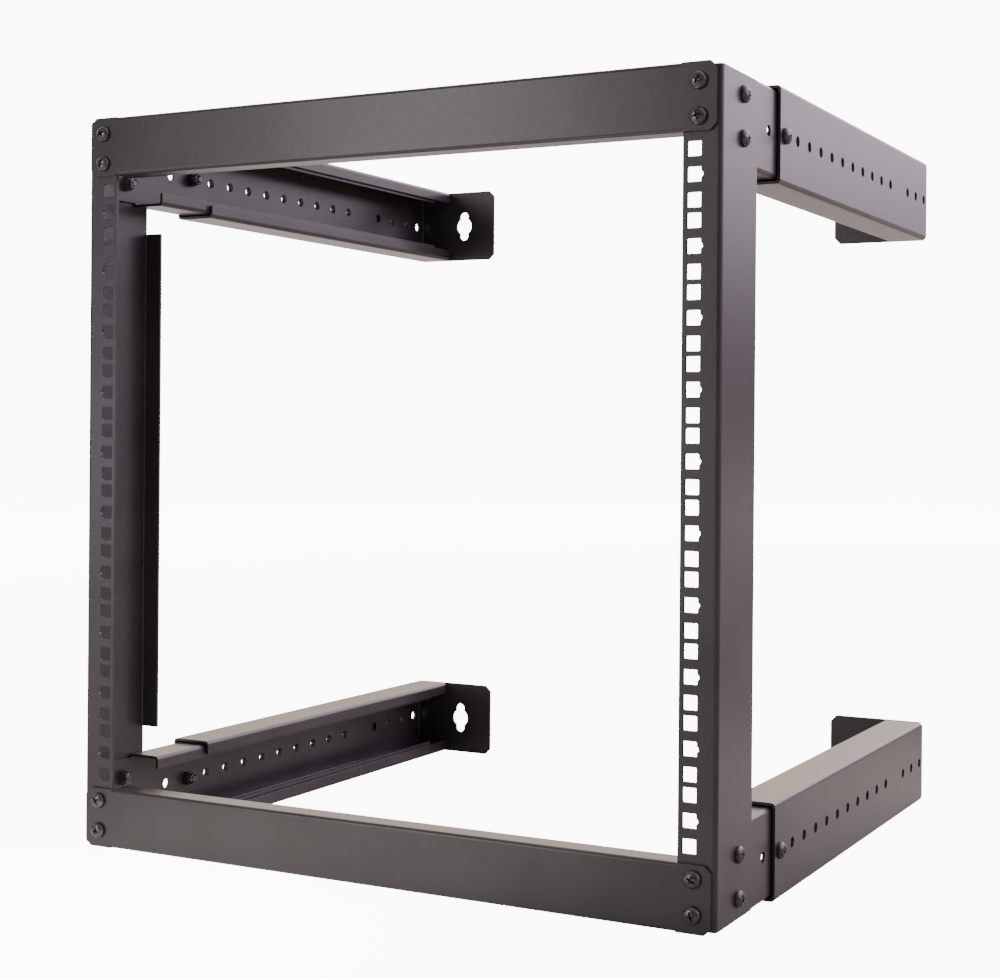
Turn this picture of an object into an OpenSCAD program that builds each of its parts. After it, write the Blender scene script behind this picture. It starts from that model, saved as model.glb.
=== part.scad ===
// Wall mount open frame rack for 19 inch equipment, adjustable in depth.
// Sizes are millimetres. X runs across the rack, Y runs back to the wall, Z is up.
// The origin is on the wall, in the middle of the four wall fixings.
// Two front uprights carry the square holes. Two bars join them. Four arms
// are screwed inside the uprights, and four sleeves slide over the arms and
// end in the tabs that hang on the wall.

/* [Show] */
// one piece, or all of them

/* [Rack] */
// height in rack units
units = 10; // [4:1:20]
// hole pitches that the sleeves are drawn out from the depth in the photo
sleeve_step = 0; // [-1:1:9]
// side of the square holes
square_hole = 9.5; // [9:0.1:10]
// sheet thickness of every folded piece
sheet = 2; // [1.6:0.1:2.2]

/* [Fixings] */
// shank of every screw
shank_d = 6; // [5:0.5:6]
// round holes for the depth bolts
pitch_hole_d = 7.5; // [7:0.1:8]
// large middle of the wall keyholes
keyhole_d = 16.5; // [14:0.5:18]

/* [Hidden] */

$fn = 64;

frame_colour = [0.22, 0.21, 0.22];
bar_colour = [0.27, 0.26, 0.27];
arm_colour = [0.25, 0.24, 0.25];
sleeve_colour = [0.33, 0.32, 0.33];
screw_colour = [0.12, 0.12, 0.13];
nut_colour = [0.45, 0.45, 0.46];

// folds: outside radius of the bends, and of the tighter ones of the bars
bend_out = 3;
bar_bend = 2.5;

// the usual spacing of rack holes: one unit, and the three holes in it
unit = 44.45;
hole_rows = [6.35, 22.225, 38.1];
hole_column = 465.1 / 2;
span = units * unit;

// front of the rails, measured from the wall, and hole pitch along the arms
front_y = -482.6;
pitch = 25.4;

// uprights: outside faces, from the holes out to the edge
rail_edge = 18.45;
upright_x = hole_column + rail_edge;
flange_w = 26;
upright_depth = 64;
rear_lip_w = 16;

// bars: tabs that end just inside the edge of the uprights, flanges between these
bar_inset = 3;
bar_half = upright_x - bar_inset;
bar_h = 43;
bar_gap = 4.1;
bar_flange = 18;
bar_flange_gap = 0.5;
bar_flange_half = upright_x - flange_w - bar_flange_gap;
bar_chamfer = 4.5;
bar_low = span / 2 + bar_gap;
bar_top = bar_low + bar_h;
bar_screw_in = 12;
bar_screw_x = bar_half - bar_screw_in;
bar_screw_low = 9;
bar_screw_high = 12;
bar_screw_z = [bar_low + bar_screw_low, bar_top - bar_screw_high];
bar_over = 2;
upright_half = bar_top - bar_over;

// arms: lipped channels screwed against the insides of the uprights
arm_x = upright_x - sheet;
arm_h = 60;
arm_w = 28;
arm_lip = 9.5;
arm_tongue_y = 6;
arm_start = 47;
arm_end = 454;
// the arm stands a little over the end of the upright
arm_over = 2.2;
arm_z = upright_half + arm_over - arm_h / 2;
arm_screw_y = 37;
arm_screw_top = 15.2;
arm_screw_low = 16.8;
arm_screw_z = [arm_z + arm_h / 2 - arm_screw_top, arm_z - arm_h / 2 + arm_screw_low];

// sleeves: lipped channels outside the arms, folded in at the wall
slack = 0.8;
play = 1;
sleeve_x = arm_x + slack + sheet;
sleeve_h = arm_h + 2 * (play + sheet);
sleeve_w = arm_w + slack + play + 2 * sheet;
sleeve_lip = 10;
sleeve_start = 104.5;
wall_y = -front_y;
sleeve_flange_gap = 3.6;
sleeve_flange_end = wall_y - sleeve_flange_gap;
tab_w = 81.3;
tab_x = sleeve_x - tab_w;
tab_chamfer = 5;
// the uprights are cut away behind, past the sleeve, so that it can slide in
sleeve_room = 11;
rear_lip_cut = sleeve_h + sleeve_room;

// the same row of punched holes in arms and sleeves
first_hole = 114.5;
arm_holes = [-1, 0, 1, 2, 3, 4, 5, 6, 7, 8, 9, 11, 12, 13];
sleeve_holes = [0, 1, 2, 3, 4, 5, 6, 7, 8, 9, 10, 12, 13, 14];

// wall keyholes: a round middle and a smaller lobe above and below
keyhole_in = 32.7;
keyhole_x = tab_x + keyhole_in;
keyhole_lobe = 9.5;
keyhole_reach = 9;

// pan head screws and hex nuts
head_d = 11.4;
head_h = 4.1;
head_edge = 1.5;
cross_l = 5.8;
cross_w = 1.3;
cross_deep = 2.2;
nut_across = 10;
nut_h = 5;
nut_bore = shank_d + 0.1;
// how far a screw stands out of its nut, and the longer depth bolt
screw_past = 3;
bolt_past = 4.2;
screw_grip = 2 * sheet + nut_h + screw_past;
bolt_grip = sleeve_x - arm_x + sheet + nut_h + bolt_past;
// wider than any sheet, for cuts that go right through
cut = 80;

// puts a piece measured from the rail fronts in its place
module from_front() {
    translate([0, front_y, 0]) children();
}

// mirrors a piece drawn for the top right corner to the other corners
module corner(right, top) {
    mirror([right > 0 ? 0 : 1, 0, 0])
        mirror([0, 0, top > 0 ? 0 : 1])
            children();
}

// rectangle from the middle with round corners
module round_rect(w, h, r) {
    difference() {
        square([w, h], center = true);
        for (i = [-1, 1], j = [-1, 1])
            mirror([i < 0 ? 1 : 0, 0]) mirror([0, j < 0 ? 1 : 0])
                translate([w / 2 - r, h / 2 - r])
                    difference() {
                        square([r + 1, r + 1]);
                        circle(r);
                    }
    }
}

// section of a lipped channel: web at x = 0, open side at x = -w
module lipped(w, h, lip) {
    translate([-w / 2, 0])
        difference() {
            round_rect(w, h, bend_out);
            round_rect(w - 2 * sheet, h - 2 * sheet, bend_out - sheet);
            translate([-w / 2 - 1, -h / 2 + lip]) square([sheet + 2, h - 2 * lip]);
        }
}

// a lipped channel that runs back from y0 to y1 with its web outside at x
module channel(x, w, h, lip, y0, y1) {
    translate([x, y1, 0]) rotate([90, 0, 0])
        linear_extrude(y1 - y0) lipped(w, h, lip);
}

// round hole through a side web, from x inwards
module side_hole(x, y, z, d) {
    translate([x + 2, y, z]) rotate([0, -90, 0]) cylinder(d = d, h = 8);
}

// pan head screw with a cross recess, head side up, seat at z = 0
module pan_screw(grip) {
    difference() {
        union() {
            rotate_extrude() pan_section();
            translate([0, 0, -grip]) cylinder(d = shank_d, h = grip + 0.5);
        }
        for (a = [0, 90])
            rotate([0, 0, a])
                translate([-cross_l / 2, -cross_w / 2, head_h - cross_deep])
                    cube([cross_l, cross_w, cross_deep + 1]);
    }
}

// half section of the head: a short straight edge and a dome on it
module pan_section() {
    dome = (pow(head_d / 2, 2) + pow(head_h - head_edge, 2)) / (2 * (head_h - head_edge));
    intersection() {
        square([head_d / 2, head_h]);
        translate([0, head_h - dome]) circle(dome, $fn = 120);
    }
}

// hex nut, seat at z = 0, body below it
module hex_nut() {
    translate([0, 0, -nut_h])
        difference() {
            cylinder(d = nut_across / cos(30), h = nut_h, $fn = 6);
            translate([0, 0, -1]) cylinder(d = nut_bore, h = nut_h + 2);
        }
}

// front upright of the right side: holes in front, web outside, lip behind
module upright() {
    from_front() difference() {
        translate([0, 0, -upright_half]) linear_extrude(2 * upright_half)
            upright_section();
        for (u = [0:units - 1], row = hole_rows)
            translate([hole_column, 0, -span / 2 + u * unit + row]) {
                square_cut();
                if (row == hole_rows[1]) notch_cut();
            }
        for (s = [-1, 1]) {
            for (z = bar_screw_z)
                translate([bar_screw_x, 4, s * z]) rotate([90, 0, 0])
                    cylinder(d = shank_d + 0.6, h = 6);
            for (z = arm_screw_z) side_hole(upright_x, arm_screw_y, s * z, shank_d + 0.6);
            translate([upright_x - sheet - cut / 2, upright_depth - bend_out + 5, s * upright_half])
                cube([cut, 10, 2 * rear_lip_cut], center = true);
            translate([upright_x, upright_depth, s * upright_half])
                cube([cut, 2, 2 * rear_lip_cut], center = true);
        }
    }
}

// plan of an upright, looking down
module upright_section() {
    translate([upright_x - 20, upright_depth / 2])
        difference() {
            round_rect(40, upright_depth, bend_out);
            round_rect(40 - 2 * sheet, upright_depth - 2 * sheet, bend_out - sheet);
            translate([-21, -upright_depth]) square([1 + 40 - flange_w, upright_depth]);
            translate([-21, 0]) square([1 + 40 - rear_lip_w, upright_depth]);
        }
}

// square hole with slightly round corners, right through the front flange
module square_cut() {
    translate([0, sheet + 1, 0]) rotate([90, 0, 0])
        linear_extrude(sheet + 2) round_rect(square_hole, square_hole, 0.8);
}

// the small bow in the outer edge of the middle hole of each unit
module notch_cut() {
    translate([square_hole / 2 - 0.8, sheet + 1, 0]) rotate([90, 0, 0])
        cylinder(r = 2.1, h = sheet + 2);
}

// top bar: a channel between the uprights with a flat tab at each end
module bar() {
    from_front() difference() {
        union() {
            translate([-bar_flange_half, 0, 0]) rotate([90, 0, 90])
                linear_extrude(2 * bar_flange_half) bar_section();
            translate([0, 0, bar_low + bar_h / 2]) rotate([90, 0, 0])
                linear_extrude(sheet) bar_face();
        }
        for (s = [-1, 1], z = bar_screw_z)
            translate([s * bar_screw_x, 1, z]) rotate([90, 0, 0])
                cylinder(d = shank_d + 0.6, h = sheet + 2);
    }
}

// side view of the bar: face in front, a flange along the top and the bottom
module bar_section() {
    translate([bar_flange / 2 - sheet + 5, bar_low + bar_h / 2])
        difference() {
            round_rect(bar_flange + 10, bar_h, bar_bend);
            round_rect(bar_flange + 10 - 2 * sheet, bar_h - 2 * sheet, bar_bend - sheet);
            translate([bar_flange / 2 - 5, -bar_h]) square([30, 2 * bar_h]);
        }
}

// front view of the flat end tabs and the face between the bends
module bar_face() {
    flat = bar_h - 2 * bar_bend;
    square([2 * bar_flange_half + 2, flat], center = true);
    for (s = [-1, 1]) mirror([s < 0 ? 1 : 0, 0])
        polygon([[bar_flange_half, -bar_h / 2], [bar_half - bar_chamfer, -bar_h / 2],
                 [bar_half, -bar_h / 2 + bar_chamfer], [bar_half, bar_h / 2 - bar_chamfer],
                 [bar_half - bar_chamfer, bar_h / 2], [bar_flange_half, bar_h / 2]]);
}

// arm of the top right corner
module arm() {
    tongue_h = arm_h - 2 * bend_out;
    from_front() difference() {
        union() {
            translate([0, 0, arm_z]) channel(arm_x, arm_w, arm_h, arm_lip, arm_start, arm_end);
            translate([arm_x - sheet, arm_tongue_y, arm_z - tongue_h / 2])
                cube([sheet, arm_start - arm_tongue_y + 1, tongue_h]);
        }
        for (k = arm_holes) side_hole(arm_x, first_hole + k * pitch, arm_z, pitch_hole_d);
        for (z = arm_screw_z) side_hole(arm_x, arm_screw_y, z, shank_d + 0.6);
    }
}

// moves the pieces of a sleeve out by whole hole pitches
module drawn_out() {
    translate([0, front_y + sleeve_step * pitch, 0]) children();
}

// sleeve of the top right corner with its wall tab
module sleeve() {
    drawn_out() translate([0, 0, arm_z]) difference() {
        union() {
            channel(sleeve_x, sleeve_w, sleeve_h, sleeve_lip, sleeve_start, sleeve_flange_end);
            translate([0, 0, -sleeve_h / 2 + bend_out])
                linear_extrude(sleeve_h - 2 * bend_out) tab_fold();
            translate([0, wall_y, 0]) rotate([90, 0, 0]) linear_extrude(sheet) tab_face();
        }
        for (k = sleeve_holes) side_hole(sleeve_x, first_hole + k * pitch, 0, pitch_hole_d);
        translate([keyhole_x, wall_y + 1, 0]) rotate([90, 0, 0]) {
            cylinder(d = keyhole_d, h = sheet + 2);
            for (s = [-1, 1]) translate([0, s * keyhole_reach, 0]) cylinder(d = keyhole_lobe, h = sheet + 2);
        }
    }
}

// plan of the fold from the web to the tab
module tab_fold() {
    long = 40;
    translate([sleeve_x - long / 2, wall_y - long / 2])
        difference() {
            round_rect(long, long, bend_out);
            round_rect(long - 2 * sheet, long - 2 * sheet, bend_out - sheet);
            translate([-long, -long]) square([2 * long, 3 * long / 2 - 8]);
            translate([-long, -long]) square([3 * long / 2 - 4, 2 * long]);
        }
}

// front view of the tab, with its free corners cut off
module tab_face() {
    polygon([[sleeve_x - bend_out, -sleeve_h / 2], [tab_x + tab_chamfer, -sleeve_h / 2],
             [tab_x, -sleeve_h / 2 + tab_chamfer], [tab_x, sleeve_h / 2 - tab_chamfer],
             [tab_x + tab_chamfer, sleeve_h / 2], [sleeve_x - bend_out, sleeve_h / 2]]);
}

// two screws that hold one end of a bar, and their nuts
module bar_screws() {
    from_front() for (z = bar_screw_z)
        translate([bar_screw_x, -sheet, z]) rotate([90, 0, 0]) pan_screw(screw_grip);
}

module bar_nuts() {
    from_front() for (z = bar_screw_z)
        translate([bar_screw_x, sheet, z]) rotate([90, 0, 0]) hex_nut();
}

// two screws that hold an arm in its upright, and their nuts
module arm_screws() {
    from_front() for (z = arm_screw_z)
        translate([upright_x, arm_screw_y, z]) rotate([0, 90, 0]) pan_screw(screw_grip);
}

module arm_nuts() {
    from_front() for (z = arm_screw_z)
        translate([arm_x - sheet, arm_screw_y, z]) rotate([0, 90, 0]) hex_nut();
}

// the bolt that fixes the depth, and its nut
module depth_bolt() {
    drawn_out() translate([sleeve_x, first_hole, arm_z]) rotate([0, 90, 0]) pan_screw(bolt_grip);
}

module depth_nut() {
    drawn_out() translate([arm_x - sheet, first_hole, arm_z]) rotate([0, 90, 0]) hex_nut();
}

module upright_left() { color(frame_colour) corner(0, 1) upright(); }
module upright_right() { color(frame_colour) corner(1, 1) upright(); }
module top_bar() { color(bar_colour) bar(); }
module bottom_bar() { color(bar_colour) corner(1, 0) bar(); }
module arm_top_left() { color(arm_colour) corner(0, 1) arm(); }
module arm_top_right() { color(arm_colour) corner(1, 1) arm(); }
module arm_bottom_left() { color(arm_colour) corner(0, 0) arm(); }
module arm_bottom_right() { color(arm_colour) corner(1, 0) arm(); }
module sleeve_top_left() { color(sleeve_colour) corner(0, 1) sleeve(); }
module sleeve_top_right() { color(sleeve_colour) corner(1, 1) sleeve(); }
module sleeve_bottom_left() { color(sleeve_colour) corner(0, 0) sleeve(); }
module sleeve_bottom_right() { color(sleeve_colour) corner(1, 0) sleeve(); }
module bar_screws_top_left() { color(screw_colour) corner(0, 1) bar_screws(); }
module bar_screws_top_right() { color(screw_colour) corner(1, 1) bar_screws(); }
module bar_screws_bottom_left() { color(screw_colour) corner(0, 0) bar_screws(); }
module bar_screws_bottom_right() { color(screw_colour) corner(1, 0) bar_screws(); }
module bar_nuts_top_left() { color(nut_colour) corner(0, 1) bar_nuts(); }
module bar_nuts_top_right() { color(nut_colour) corner(1, 1) bar_nuts(); }
module bar_nuts_bottom_left() { color(nut_colour) corner(0, 0) bar_nuts(); }
module bar_nuts_bottom_right() { color(nut_colour) corner(1, 0) bar_nuts(); }
module arm_screws_top_left() { color(screw_colour) corner(0, 1) arm_screws(); }
module arm_screws_top_right() { color(screw_colour) corner(1, 1) arm_screws(); }
module arm_screws_bottom_left() { color(screw_colour) corner(0, 0) arm_screws(); }
module arm_screws_bottom_right() { color(screw_colour) corner(1, 0) arm_screws(); }
module arm_nuts_top_left() { color(nut_colour) corner(0, 1) arm_nuts(); }
module arm_nuts_top_right() { color(nut_colour) corner(1, 1) arm_nuts(); }
module arm_nuts_bottom_left() { color(nut_colour) corner(0, 0) arm_nuts(); }
module arm_nuts_bottom_right() { color(nut_colour) corner(1, 0) arm_nuts(); }
module depth_bolt_top_left() { color(screw_colour) corner(0, 1) depth_bolt(); }
module depth_bolt_top_right() { color(screw_colour) corner(1, 1) depth_bolt(); }
module depth_bolt_bottom_left() { color(screw_colour) corner(0, 0) depth_bolt(); }
module depth_bolt_bottom_right() { color(screw_colour) corner(1, 0) depth_bolt(); }
module depth_nut_top_left() { color(nut_colour) corner(0, 1) depth_nut(); }
module depth_nut_top_right() { color(nut_colour) corner(1, 1) depth_nut(); }
module depth_nut_bottom_left() { color(nut_colour) corner(0, 0) depth_nut(); }
module depth_nut_bottom_right() { color(nut_colour) corner(1, 0) depth_nut(); }

upright_left();
upright_right();
top_bar();
bottom_bar();
arm_top_left();
arm_top_right();
arm_bottom_left();
arm_bottom_right();
sleeve_top_left();
sleeve_top_right();
sleeve_bottom_left();
sleeve_bottom_right();
bar_screws_top_left();
bar_screws_top_right();
bar_screws_bottom_left();
bar_screws_bottom_right();
bar_nuts_top_left();
bar_nuts_top_right();
bar_nuts_bottom_left();
bar_nuts_bottom_right();
arm_screws_top_left();
arm_screws_top_right();
arm_screws_bottom_left();
arm_screws_bottom_right();
arm_nuts_top_left();
arm_nuts_top_right();
arm_nuts_bottom_left();
arm_nuts_bottom_right();
depth_bolt_top_left();
depth_bolt_top_right();
depth_bolt_bottom_left();
depth_bolt_bottom_right();
depth_nut_top_left();
depth_nut_top_right();
depth_nut_bottom_left();
depth_nut_bottom_right();
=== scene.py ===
import bmesh
import bpy
from math import cos, pi, radians, sin
from mathutils import Matrix, Vector


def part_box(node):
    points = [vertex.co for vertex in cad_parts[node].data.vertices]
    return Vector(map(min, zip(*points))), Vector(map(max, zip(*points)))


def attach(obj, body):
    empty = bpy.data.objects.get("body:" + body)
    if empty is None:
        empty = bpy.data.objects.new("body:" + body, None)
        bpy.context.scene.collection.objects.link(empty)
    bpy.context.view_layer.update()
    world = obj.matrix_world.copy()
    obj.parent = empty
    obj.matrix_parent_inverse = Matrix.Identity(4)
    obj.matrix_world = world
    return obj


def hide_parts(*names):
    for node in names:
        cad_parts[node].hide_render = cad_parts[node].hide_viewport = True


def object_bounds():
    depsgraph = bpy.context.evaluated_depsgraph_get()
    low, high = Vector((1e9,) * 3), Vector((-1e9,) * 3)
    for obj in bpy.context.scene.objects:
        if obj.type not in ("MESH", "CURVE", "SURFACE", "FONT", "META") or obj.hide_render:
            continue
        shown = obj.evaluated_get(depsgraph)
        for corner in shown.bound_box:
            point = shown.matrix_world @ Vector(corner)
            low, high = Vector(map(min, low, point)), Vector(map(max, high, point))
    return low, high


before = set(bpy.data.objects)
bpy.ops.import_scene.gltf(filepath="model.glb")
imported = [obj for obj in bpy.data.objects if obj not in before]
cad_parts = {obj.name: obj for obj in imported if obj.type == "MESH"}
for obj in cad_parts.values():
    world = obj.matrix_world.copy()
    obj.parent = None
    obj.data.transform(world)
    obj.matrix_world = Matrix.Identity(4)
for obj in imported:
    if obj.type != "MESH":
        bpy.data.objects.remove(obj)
packed_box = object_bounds()

# The view: the rack stands a little turned, seen from its right side at mid height.
# The eye is about 1.1 m in front of it, with a lens a little longer than normal.
RAIL_FRONT = -0.4826
PHOTO_WIDE, PHOTO_HIGH = 1000, 978
FOCAL_PIXELS, MIDDLE_ACROSS, HORIZON_DOWN = 1755.999, 531.085, 431.85
camera = bpy.data.objects.new("camera", bpy.data.cameras.new("camera"))
bpy.context.scene.collection.objects.link(camera)
bpy.context.scene.camera = camera
camera.location = (0.64255, RAIL_FRONT - 1.01014, 0.03976)
camera.rotation_euler = (radians(90), -0.008, 0.477)
camera.data.sensor_width = 36
camera.data.lens = FOCAL_PIXELS * camera.data.sensor_width / PHOTO_WIDE
camera.data.shift_x = (PHOTO_WIDE / 2 - MIDDLE_ACROSS) / PHOTO_WIDE
camera.data.shift_y = (HORIZON_DOWN - PHOTO_HIGH / 2) / PHOTO_WIDE
camera.data.clip_start = 0.05
camera.data.clip_end = 60


# The paper: a white sheet under the rack, matt, that gives soft pale light to the undersides,
# partly as reflection and partly as painted glow of its own. The eye sees it as white as the room;
# its own light on the rack is dimmer.
def linear(colour):
    """An sRGB hex colour as linear red, green, blue and alpha."""
    channels = [int(colour[i:i + 2], 16) / 255 for i in (1, 3, 5)]
    return [c / 12.92 if c <= 0.04045 else ((c + 0.055) / 1.055) ** 2.4 for c in channels] + [1]


def add(tree, kind, links=(), **settings):
    """A new node. Settings are attributes or, in capitals, sockets; links are (socket, from)."""
    node = tree.nodes.new("ShaderNode" + kind)
    for name, value in settings.items():
        if name[0].isupper():
            node.inputs[name.replace("_", " ")].default_value = value
        else:
            setattr(node, name, value)
    for socket, source in links:
        tree.links.new(source, node.inputs[socket])
    return node


def new_material(name):
    """An empty node material and its tree."""
    material = bpy.data.materials.new(name)
    material.use_nodes = True
    material.node_tree.nodes.clear()
    return material, material.node_tree


paper, tree = new_material("matt_white_paper")
spot = add(tree, "TexCoord").outputs["Object"]


def glow_round(x, y, near, far, at_near, at_far):
    """A soft change in the paper's own light between two distances from a point of the floor."""
    reach = add(tree, "VectorMath", [(0, spot)], operation="DISTANCE")
    reach.inputs[1].default_value = (x, y, 0)
    return add(tree, "MapRange", [("Value", reach.outputs["Value"])],
               interpolation_type="SMOOTHSTEP", From_Min=near, From_Max=far,
               To_Min=at_near, To_Max=at_far)


def for_eye(tree, on_rack, in_picture):
    """One shader of the stage for the rack's light and another for the eye."""
    return add(tree, "MixShader", [(0, add(tree, "LightPath").outputs["Is Camera Ray"]),
                                   (1, on_rack.outputs[0]), (2, in_picture.outputs[0])])


# far off it glows to the left and behind the rack; near by, in front of the lower bar
# and beside the right arms, which is what the rack's sides mirror in the photo
sweep = glow_round(0.8, 1.2, 1.3, 3.2, 0.0, 1.35)
fade = glow_round(-1, 3, 2.5, 5, 1.0, 0.15)
pool = glow_round(-0.12, -0.62, 0.05, 0.42, 1.65, 0.0)
painted_glow_by_right_arms = glow_round(0.3, 0.05, 0.05, 0.5, 0.45, 0.0)
glow = add(tree, "Math", [(0, sweep.outputs[0]), (1, fade.outputs[0])], operation="MULTIPLY")
for patch in (pool, painted_glow_by_right_arms):
    glow = add(tree, "Math", [(0, glow.outputs[0]), (1, patch.outputs[0])], operation="ADD")
sheet = add(tree, "BsdfPrincipled", Base_Color=linear("#8f8a84"), Roughness=0.9)
# painted glow: the paper gives off this light itself, though it is no lamp
painted_glow = add(tree, "Emission", [("Strength", glow.outputs[0])], Color=linear("#fff6ee"))
sheet = add(tree, "AddShader", [(0, sheet.outputs[0]), (1, painted_glow.outputs[0])])
white = add(tree, "Emission", Color=linear("#ffffff"), Strength=10.0)
seen = add(tree, "AddShader", [(0, sheet.outputs[0]), (1, white.outputs[0])])
choice = for_eye(tree, sheet, seen)
add(tree, "OutputMaterial", [("Surface", choice.outputs[0])])

PAPER_WIDE, PAPER_GAP = 60, 0.0005
bpy.ops.mesh.primitive_plane_add(size=PAPER_WIDE, location=(0, 0, packed_box[0][2] - PAPER_GAP))
floor = bpy.context.object
floor.name = "paper_floor"
floor.data.materials.append(paper)


# The room: white walls and ceiling, brightest behind the rack and overhead, dimmer at the
# horizon, in front and to the left. Its light is warm on the left and cool on the right.
def blend(tree, source, first, second, start=0.0, end=1.0):
    """A colour that runs from a first to a second one as the source rises."""
    ramp = add(tree, "ValToRGB", [("Fac", source.outputs[0])])
    for element, place, colour in zip(ramp.color_ramp.elements, (start, end), (first, second)):
        element.position, element.color = place, linear(colour)
    return ramp


world = bpy.data.worlds.new("white_room")
bpy.context.scene.world = world
world.use_nodes = True
world.node_tree.nodes.clear()
tree = world.node_tree
way = add(tree, "SeparateXYZ", [("Vector", add(tree, "TexCoord").outputs["Generated"])])
side = add(tree, "MapRange", [("Value", way.outputs["X"])], From_Min=-0.3, From_Max=0.15)
tint = blend(tree, side, "#fcebdc", "#f8e6f6")
height = add(tree, "MapRange", [("Value", way.outputs["Z"])], interpolation_type="SMOOTHSTEP",
             From_Min=0.03, From_Max=0.22, To_Min=0.05, To_Max=4.0)
depth = add(tree, "MapRange", [("Value", way.outputs["Y"])], interpolation_type="SMOOTHSTEP",
            From_Min=-0.8, From_Max=0.7, To_Min=0.1, To_Max=1.0)
left = add(tree, "MapRange", [("Value", way.outputs["X"])],
           From_Min=-0.45, From_Max=0.1, To_Min=0.62, To_Max=1.0)
glow = add(tree, "Math", [(0, height.outputs[0]), (1, depth.outputs[0])], operation="MULTIPLY")
glow = add(tree, "Math", [(0, glow.outputs[0]), (1, left.outputs[0])], operation="MULTIPLY")
room = add(tree, "Background", [("Color", tint.outputs["Color"]), ("Strength", glow.outputs[0])])
seen = add(tree, "Background", Color=linear("#ffffff"), Strength=10.5)
choice = for_eye(tree, room, seen)
add(tree, "OutputWorld", [("Surface", choice.outputs[0])])


# The lamps: three soft boxes. A weak one stands high on the right, a tall narrow one in
# front on the left for the bars, and a small low one beside it for the left rail.
def soft_box(name, place, aim, width, height, watts, colour):
    """A rectangular studio light, turned to a point."""
    lamp = bpy.data.lights.new(name, "AREA")
    lamp.shape = "RECTANGLE"
    lamp.size, lamp.size_y = width, height
    lamp.energy, lamp.color = watts, linear(colour)[:3]
    box = bpy.data.objects.new(name, lamp)
    bpy.context.scene.collection.objects.link(box)
    box.location = place
    box.rotation_euler = (Vector(aim) - Vector(place)).to_track_quat("-Z", "Y").to_euler()


soft_box("key_right", (2.4, 0.6, 1.6), (0.2, -0.2, 0.2), 1.4, 1.6, 4, "#fdf6fb")
soft_box("fill_left", (-1.08, -2.4, 0.4), (0, -0.48, 0), 0.4, 1.4, 16, "#fdf6fb")
soft_box("fill_low", (-1.55, -2.0, 0.02), (-0.22, -0.48, 0.05), 0.25, 0.5, 2, "#eeebff")

# The uprights: lipped channels of 2 mm steel sheet, punched with the rack's square holes,
# cut away at the rear where the arms pass, and then folded. They are sprayed with charcoal
# polyester powder and baked: a fine grain, a broad satin gloss and a slight mottle.
powder_coat, tree = new_material("charcoal_powder_coat")
place = add(tree, "TexCoord").outputs["Object"]
# the real grain is about 0.3 mm, drawn at 1.1 mm so that it shows in the render
grain = add(tree, "TexNoise", [("Vector", place)], Scale=900, Detail=2, Roughness=0.6)
mottle = add(tree, "TexNoise", [("Vector", place)], Scale=18, Detail=3, Roughness=0.5)
tint = blend(tree, mottle, "#272628", "#302e31", 0.35, 0.65)
gloss = add(tree, "MapRange", [("Value", grain.outputs["Fac"])], To_Min=0.25, To_Max=0.36)
# the coat draws a radius of about 0.4 mm round every cut edge
edge = add(tree, "Bevel", samples=4, Radius=0.0004)
bump = add(tree, "Bump", [("Height", grain.outputs["Fac"]), ("Normal", edge.outputs["Normal"])],
           Strength=0.25, Distance=0.0002)
shader = add(tree, "BsdfPrincipled", [("Base Color", tint.outputs["Color"]),
                                      ("Roughness", gloss.outputs[0]),
                                      ("Normal", bump.outputs[0])])
add(tree, "OutputMaterial", [("Surface", shader.outputs[0])])


def coat(*starts):
    """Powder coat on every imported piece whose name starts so."""
    for name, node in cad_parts.items():
        if name.startswith(starts):
            for slot in node.material_slots:
                slot.material = powder_coat


coat("upright")

# The bars: shallow channels with flat ends and cut corners, folded from the same sheet
# and screwed to the fronts of the uprights.
coat("top_bar", "bottom_bar")

# The arms: lipped channels with a row of round holes, screwed inside the uprights by
# a flat tongue.
coat("arm_top", "arm_bottom")

# The sleeves: wider channels that slide over the arms. The wall tab, with its double
# keyhole, is folded in from the same sheet.
coat("sleeve")

# The screws: pan heads with a punched cross recess and a rolled M6 thread, in black
# zinc on steel. Two hold each end of a bar and each arm, and a longer one fixes the depth.
HEAD_WIDE, HEAD_HIGH, SHANK, THREAD_PITCH = 0.0114, 0.0041, 0.006, 0.001
SCREW_LONG, BOLT_LONG = 0.012, 0.014


def plated_steel(name, dark, light, rough):
    """Black zinc plate: smooth, with a faint cloud in its colour and gloss."""
    material, tree = new_material(name)
    place = add(tree, "TexCoord").outputs["Object"]
    cloud = add(tree, "TexNoise", [("Vector", place)], Scale=420, Detail=2, Roughness=0.5)
    tint = blend(tree, cloud, dark, light, 0.35, 0.65)
    gloss = add(tree, "MapRange", [("Value", cloud.outputs["Fac"])],
                To_Min=rough - 0.05, To_Max=rough + 0.07)
    shader = add(tree, "BsdfPrincipled", [("Base Color", tint.outputs["Color"]),
                                          ("Roughness", gloss.outputs[0])], Metallic=0.85)
    add(tree, "OutputMaterial", [("Surface", shader.outputs[0])])
    return material


def solid(shape, name):
    """A mesh object at the origin from a bmesh, with its faces turned outwards."""
    bmesh.ops.recalc_face_normals(shape, faces=shape.faces)
    mesh = bpy.data.meshes.new(name)
    shape.to_mesh(mesh)
    shape.free()
    piece = bpy.data.objects.new(name, mesh)
    bpy.context.scene.collection.objects.link(piece)
    return piece


def carve(shape, tool):
    """One bmesh with another cut out of it."""
    blank, punch = solid(shape, "blank"), solid(tool, "punch")
    cut = blank.modifiers.new("cut", "BOOLEAN")
    cut.object, cut.operation, cut.solver = punch, "DIFFERENCE", "EXACT"
    bpy.context.view_layer.update()
    result = bmesh.new()
    result.from_mesh(blank.evaluated_get(bpy.context.evaluated_depsgraph_get()).to_mesh())
    for spent in (blank, punch):
        bpy.data.objects.remove(spent)
    return result


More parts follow.
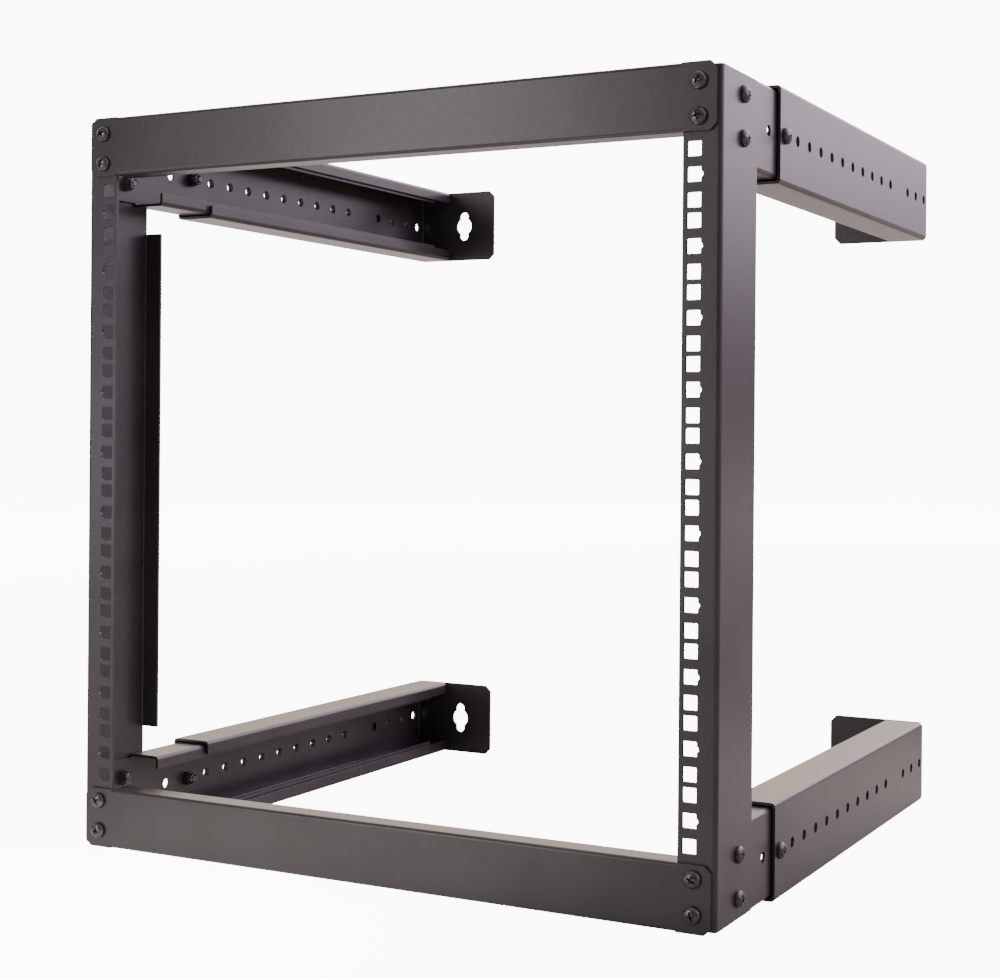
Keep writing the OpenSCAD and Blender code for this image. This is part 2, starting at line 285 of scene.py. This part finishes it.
def turned(profile, steps=48):
    """A closed body of revolution round Z from (radius, height) points on one side."""
    shape = bmesh.new()
    points = [shape.verts.new((r, 0, z)) for r, z in profile]
    edges = [shape.edges.new(pair) for pair in zip(points, points[1:])]
    bmesh.ops.spin(shape, geom=points + edges, cent=(0, 0, 0), axis=(0, 0, 1),
                   angle=2 * pi, steps=steps, use_merge=True)
    bmesh.ops.remove_doubles(shape, verts=shape.verts, dist=1e-6)
    return shape


def joined(shape, extra):
    """One bmesh with a second closed body beside its own."""
    mesh = bpy.data.meshes.new("joined")
    extra.to_mesh(mesh)
    extra.free()
    shape.from_mesh(mesh)
    return shape


def threaded(length):
    """A rolled thread down from the head, cut off square with a small point."""
    thread_deep, start, point_high, point_narrow, steps = 0.00045, 0.0008, 0.0006, 0.72, 16
    crest = SHANK / 2
    root = crest - thread_deep
    rod = bmesh.new()
    points = [rod.verts.new((r, 0, z)) for r, z in
              ((root, start), (crest, start - 0.4 * THREAD_PITCH),
               (crest, start - 0.55 * THREAD_PITCH), (root, start - THREAD_PITCH))]
    edges = [rod.edges.new(pair) for pair in zip(points, points[1:])]
    turns = int(length / THREAD_PITCH) + 3
    bmesh.ops.spin(rod, geom=points + edges, cent=(0, 0, 0), axis=(0, 0, 1),
                   dvec=(0, 0, -THREAD_PITCH / steps), angle=2 * pi * turns,
                   steps=steps * turns, use_merge=False)
    bmesh.ops.remove_doubles(rod, verts=rod.verts, dist=1e-6)
    for height, facing in ((0.0, 1), (-length + point_high, -1)):
        bmesh.ops.bisect_plane(rod, geom=rod.verts[:] + rod.edges[:] + rod.faces[:], dist=1e-7,
                               plane_co=(0, 0, height), plane_no=(0, 0, facing), clear_outer=True)
    rims = [edge for edge in rod.edges if edge.is_boundary]
    ends = bmesh.ops.edgenet_fill(rod, edges=rims)["faces"]
    tip = [face for face in ends if face.calc_center_median().z < -length / 2]
    pushed = bmesh.ops.extrude_discrete_faces(rod, faces=tip)["faces"]
    rod.verts.ensure_lookup_table()
    for face in pushed:
        for vert in face.verts:
            vert.co = (vert.co.x * point_narrow, vert.co.y * point_narrow, -length)
    bmesh.ops.holes_fill(rod, edges=rod.edges, sides=0)
    return rod


def screw(length):
    """The head with its cross recess, and the thread, seat at zero and head up."""
    wide, lip, break_edge = HEAD_WIDE / 2, 0.0011, 0.0002
    rise = [radians(a) for a in (0, 12, 26, 40, 54, 68, 80)]
    dome = [(wide * cos(a) ** 0.75, lip + (HEAD_HIGH - lip) * sin(a)) for a in rise]
    head = turned([(0, 0), (wide - break_edge, 0), (wide, break_edge)] + dome + [(0, HEAD_HIGH)])
    # one bar of the cross: its length, width and height at the floor and at the mouth
    floor_of = (0.0022, 0.0009, HEAD_HIGH - 0.0022)
    mouth_of = (0.0066, 0.0014, HEAD_HIGH + 0.0004)
    for quarter in (0, 1):
        punch = bmesh.new()
        bmesh.ops.create_cube(punch, size=1)
        for vert in punch.verts:
            long, across, level = floor_of if vert.co.z < 0 else mouth_of
            vert.co = (vert.co.x * long, vert.co.y * across, level)
        bmesh.ops.rotate(punch, verts=punch.verts, cent=(0, 0, 0),
                         matrix=Matrix.Rotation(quarter * pi / 2, 3, "Z"))
        head = carve(head, punch)
    return joined(head, threaded(length))


def set_in_place(master, node, wide, seat_of):
    """Copies of one fastener where the CAD node has them, in one piece that replaces it."""
    low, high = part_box(node)
    middle = [(low[i] + high[i]) / 2 for i in range(3)]
    # the arms' nuts stand corner up
    half = wide / 2 / cos(pi / 6) if "arm_nuts" in node else wide / 2
    single = high[2] - low[2] < 1.6 * wide
    heights = [middle[2]] if single else [low[2] + half, high[2] - half]
    on_bar = node.startswith("bar")
    side = 1 if node.endswith("right") else -1
    if on_bar:
        turn, seat = Matrix.Rotation(radians(90), 4, "X"), seat_of(low[1], high[1], -1)
    else:
        turn, seat = Matrix.Rotation(side * radians(90), 4, "Y"), seat_of(low[0], high[0], side)
    row = bmesh.new()
    for count, z in enumerate(heights):
        first = len(row.verts)
        row.from_mesh(master)
        row.verts.ensure_lookup_table()
        # each screw stopped at its own angle when it was tightened
        angle = 0 if "nut" in node else radians(23 + 47 * count + 31 * len(node))
        place = (middle[0], seat, z) if on_bar else (seat, middle[1], z)
        move = Matrix.Translation(place) @ turn @ Matrix.Rotation(angle, 4, "Z")
        bmesh.ops.transform(row, matrix=move, verts=row.verts[first:])
    piece = solid(row, "fastener_" + node)
    corner = node.split("_", 2)[2]
    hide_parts(node)
    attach(piece, "wall_arm_" + corner if node.startswith("depth") else "frame")
    return piece


def under_head(low, high, side):
    """Where a screw's head sits on its sheet, between the ends of its packed box."""
    return high - HEAD_HIGH if side > 0 else low + HEAD_HIGH


black_zinc = plated_steel("black_zinc_on_steel", "#484749", "#5a585a", 0.27)
screw_mesh, bolt_mesh = bpy.data.meshes.new("screw"), bpy.data.meshes.new("bolt")
screw(SCREW_LONG).to_mesh(screw_mesh)
screw(BOLT_LONG).to_mesh(bolt_mesh)
for node in [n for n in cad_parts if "screws" in n or "bolt" in n]:
    master = bolt_mesh if "bolt" in node else screw_mesh
    piece = set_in_place(master, node, HEAD_WIDE, under_head)
    piece.data.materials.append(black_zinc)

# The lock nuts: hexagon bar, faced and tapped, with a collar rolled over a nylon ring, in a
# duller zinc than the screws. Each stands inside its sheet, and the screw's point ends in it.
NUT_WIDE, NUT_HIGH, COLLAR_HIGH = 0.010, 0.005, 0.0028


def lock_nut(wide, high, collar):
    """A chamfered hexagon, bored, with the round collar that holds its nylon ring below it."""
    nut = bmesh.new()
    to_corner, lean = wide / 2 / cos(pi / 6), radians(30)
    bmesh.ops.create_cone(nut, cap_ends=True, segments=6, radius1=to_corner,
                          radius2=to_corner, depth=high)
    for corner in range(6):
        x, y = cos(corner * pi / 3), sin(corner * pi / 3)
        for end in (-1, 1):
            cut = bmesh.ops.bisect_plane(
                nut, geom=nut.verts[:] + nut.edges[:] + nut.faces[:], dist=1e-7, clear_outer=True,
                plane_co=(x * wide / 2, y * wide / 2, end * high / 2),
                plane_no=(x * sin(lean), y * sin(lean), end * cos(lean)))
            rim = [e for e in cut["geom_cut"] if isinstance(e, bmesh.types.BMEdge)]
            bmesh.ops.edgenet_fill(nut, edges=rim)
    play, bed = 0.00005, 0.0004
    seat, end, inside = -high / 2, -high / 2 - collar, SHANK / 2 + play
    bore = bmesh.new()
    bmesh.ops.create_cone(bore, cap_ends=True, segments=32, radius1=inside, radius2=inside,
                          depth=3 * high)
    nut = carve(nut, bore)
    outline = [(inside, seat + bed), (wide * 0.46, seat + bed), (wide * 0.46, seat - collar * 0.45),
               (wide * 0.44, seat - collar * 0.72), (wide * 0.40, seat - collar * 0.92),
               (wide * 0.37, end), (wide * 0.345, end), (wide * 0.335, end + 0.0005),
               (inside, end + 0.0006), (inside, seat + bed)]
    return joined(nut, turned(outline))


def middle_of(low, high, side):
    """The middle of a nut's packed box, the same from either side."""
    return (low + high) / 2


dull_zinc = plated_steel("dull_black_zinc", "#5d595b", "#706b6d", 0.36)
nut_mesh = bpy.data.meshes.new("nut")
lock_nut(NUT_WIDE, NUT_HIGH, COLLAR_HIGH).to_mesh(nut_mesh)
for node in [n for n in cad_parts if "nut" in n]:
    piece = set_in_place(nut_mesh, node, NUT_WIDE, middle_of)
    piece.data.materials.append(dull_zinc)
